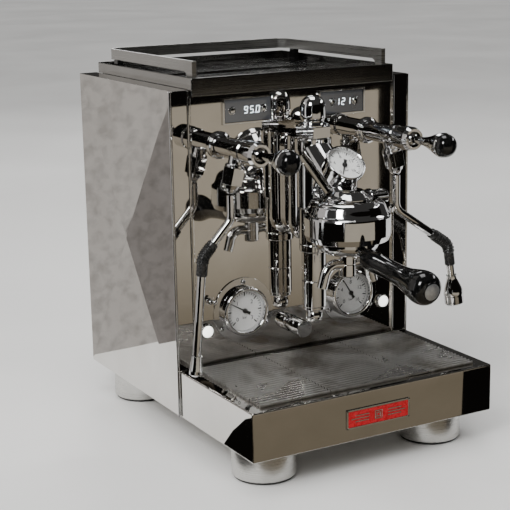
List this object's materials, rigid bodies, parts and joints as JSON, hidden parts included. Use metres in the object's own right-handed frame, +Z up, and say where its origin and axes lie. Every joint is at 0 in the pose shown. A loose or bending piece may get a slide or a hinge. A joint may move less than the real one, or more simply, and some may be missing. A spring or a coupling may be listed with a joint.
{
  "type": "espresso machine",
  "caption": "Countertop espresso machine with a lever brew group, portafilter, steam and hot-water wands, drip tray, gauges and cup rail.",
  "frame": {"origin": "on the surface the feet stand on, under the middle of the whole machine with its wands in the stored pose; the machine's own centre plane is at X = -21 mm and its front panel at Y = 0", "axes": "+Z up, +Y to the back of the machine, +X to the right seen from the front"},
  "size_m": [0.3603, 0.5049, 0.4245],
  "materials": {
    "mirror_steel": "mirror-polished stainless sheet",
    "chrome": "polished chrome plate",
    "brushed_steel": "fine brushed stainless",
    "black_plastic": "glossy black phenolic",
    "black_rubber": "ribbed matt black",
    "dial_white": "matt white printed dial",
    "needle_black": "black enamel",
    "clear_glass": "clear",
    "display_glass": "smoked display window",
    "lamp_white": "lit white lens",
    "badge_red": "red enamel in a chrome border",
    "copper": "bare copper boilers",
    "tank_plastic": "translucent white",
    "grey_metal": "cast, satin",
    "gasket_rubber": "brown-black moulded seal"
  },
  "bodies": {
    "machine": {"base_casing": "mirror_steel", "feet": "brushed_steel", "left_side_panel": "mirror_steel", "right_side_panel": "mirror_steel", "front_panel": "mirror_steel", "rear_panel": "mirror_steel", "power_inlet": "black_plastic", "cup_tray": "mirror_steel", "cup_rail": "brushed_steel", "rail_standoffs": "black_plastic", "badge_plate": "badge_red", "display_frames": "chrome", "display_glasses": "display_glass", "lamp_and_switch_rings": "chrome", "lamp_lenses": "lamp_white", "gauge_cases": "chrome", "gauge_screws": "chrome", "group_gauge_case": "chrome", "gauge_dials": "dial_white", "gauge_lenses": "clear_glass", "group_body": "chrome", "group_bell": "chrome", "group_gasket": "gasket_rubber", "shower_screen": "brushed_steel", "mushroom_cap": "chrome", "valve_column": "chrome", "valve_bodies": "chrome", "boilers": "copper", "water_tank": "tank_plastic", "pump": "grey_metal"},
    "drip_tray": {"drip_tray": "brushed_steel"},
    "drip_grid": {"drip_grid": "chrome"},
    "tank_cover": {"tank_cover": "mirror_steel"},
    "left_display_left_button": {"left_display_left_button": "chrome"},
    "left_display_right_button": {"left_display_right_button": "chrome"},
    "right_display_left_button": {"right_display_left_button": "chrome"},
    "right_display_right_button": {"right_display_right_button": "chrome"},
    "left_toggle": {"left_toggle": "chrome"},
    "right_toggle": {"right_toggle": "chrome"},
    "pressure_knob": {"pressure_knob": "chrome"},
    "left_gauge_needle": {"left_gauge_needle": "needle_black"},
    "right_gauge_needle": {"right_gauge_needle": "needle_black"},
    "group_gauge_needle": {"group_gauge_needle": "needle_black"},
    "brew_lever": {"brew_lever": "chrome"},
    "portafilter": {"portafilter_body": "chrome", "filter_basket": "brushed_steel", "portafilter_spout": "chrome", "portafilter_handle": "black_plastic"},
    "steam_lever": {"steam_lever": "chrome", "steam_lever_cap": "black_plastic"},
    "water_lever": {"water_lever": "chrome", "water_lever_cap": "black_plastic"},
    "steam_swivel": {"steam_ball": "chrome"},
    "water_swivel": {"water_ball": "chrome"},
    "steam_wand": {"steam_wand": "chrome", "steam_grip": "black_rubber", "steam_tip": "chrome"},
    "water_wand": {"water_wand": "chrome", "water_grip": "black_rubber", "water_nozzle": "chrome"}
  },
  "joints": [
    {"name": "tray_lift", "type": "slide", "parent": "machine", "child": "drip_tray", "axis": [0, 0, 1], "range_m": [0, 0.008]},
    {"name": "grid_lift", "type": "slide", "parent": "drip_tray", "child": "drip_grid", "axis": [0, 0, 1], "range_m": [0, 0.008]},
    {"name": "cover_lift", "type": "slide", "parent": "machine", "child": "tank_cover", "axis": [0, 0, 1], "range_m": [0, 0.06]},
    {"name": "left_display_left_press", "type": "slide", "parent": "machine", "child": "left_display_left_button", "axis": [0, 1, 0], "range_m": [0, 0.0012], "stiffness_N_per_m": 300, "springref_m": -0.001},
    {"name": "left_display_right_press", "type": "slide", "parent": "machine", "child": "left_display_right_button", "axis": [0, 1, 0], "range_m": [0, 0.0012], "stiffness_N_per_m": 300, "springref_m": -0.001},
    {"name": "right_display_left_press", "type": "slide", "parent": "machine", "child": "right_display_left_button", "axis": [0, 1, 0], "range_m": [0, 0.0012], "stiffness_N_per_m": 300, "springref_m": -0.001},
    {"name": "right_display_right_press", "type": "slide", "parent": "machine", "child": "right_display_right_button", "axis": [0, 1, 0], "range_m": [0, 0.0012], "stiffness_N_per_m": 300, "springref_m": -0.001},
    {"name": "left_toggle_flip", "type": "hinge", "parent": "machine", "child": "left_toggle", "pos_m": [-0.134, -0.005, 0.165], "axis": [1, 0, 0], "range_deg": [0, 16]},
    {"name": "right_toggle_flip", "type": "hinge", "parent": "machine", "child": "right_toggle", "pos_m": [0.092, -0.005, 0.165], "axis": [1, 0, 0], "range_deg": [0, 16]},
    {"name": "knob_turn", "type": "hinge", "parent": "machine", "child": "pressure_knob", "pos_m": [-0.026, -0.01, 0.1215], "axis": [0, -1, 0], "range_deg": [-150, 150]},
    {"name": "left_needle_swing", "type": "hinge", "parent": "machine", "child": "left_gauge_needle", "pos_m": [-0.091, -0.004, 0.148], "axis": [0, -1, 0], "range_deg": [-195, 75]},
    {"name": "right_needle_swing", "type": "hinge", "parent": "machine", "child": "right_gauge_needle", "pos_m": [0.049, -0.004, 0.148], "axis": [0, -1, 0], "range_deg": [-167, 103]},
    {"name": "group_needle_swing", "type": "hinge", "parent": "machine", "child": "group_gauge_needle", "pos_m": [-0.021, -0.09871, 0.31671], "axis": [0, -0.7071, 0.7071], "range_deg": [-283, 0]},
    {"name": "brew_lever_raise", "type": "hinge", "parent": "machine", "child": "brew_lever", "pos_m": [0.039, -0.037, 0.2645], "axis": [-1, 0, 0], "range_deg": [0, 50]},
    {"name": "portafilter_lock", "type": "hinge", "parent": "machine", "child": "portafilter", "pos_m": [-0.021, -0.104, 0.24], "axis": [0, 0, 1], "range_deg": [-52, 0]},
    {"name": "steam_lever_tilt", "type": "hinge", "parent": "machine", "child": "steam_lever", "pos_m": [-0.116, -0.085, 0.3345], "axis": [-1, 0, 0], "range_deg": [-14, 14]},
    {"name": "water_lever_tilt", "type": "hinge", "parent": "machine", "child": "water_lever", "pos_m": [0.074, -0.085, 0.3345], "axis": [-1, 0, 0], "range_deg": [-14, 14]},
    {"name": "steam_wand_swivel", "type": "hinge", "parent": "machine", "child": "steam_swivel", "pos_m": [-0.12616, -0.043, 0.29375], "axis": [0, 0, -1], "range_deg": [-100, 15]},
    {"name": "steam_wand_tilt", "type": "hinge", "parent": "steam_swivel", "child": "steam_wand", "pos_m": [-0.12616, -0.043, 0.29375], "axis": [0, 1, 0], "range_deg": [0, 12]},
    {"name": "water_wand_swivel", "type": "hinge", "parent": "machine", "child": "water_swivel", "pos_m": [0.08416, -0.043, 0.29375], "axis": [0, 0, 1], "range_deg": [-100, 15]},
    {"name": "water_wand_tilt", "type": "hinge", "parent": "water_swivel", "child": "water_wand", "pos_m": [0.08416, -0.043, 0.29375], "axis": [0, -1, 0], "range_deg": [0, 12]}
  ]
}
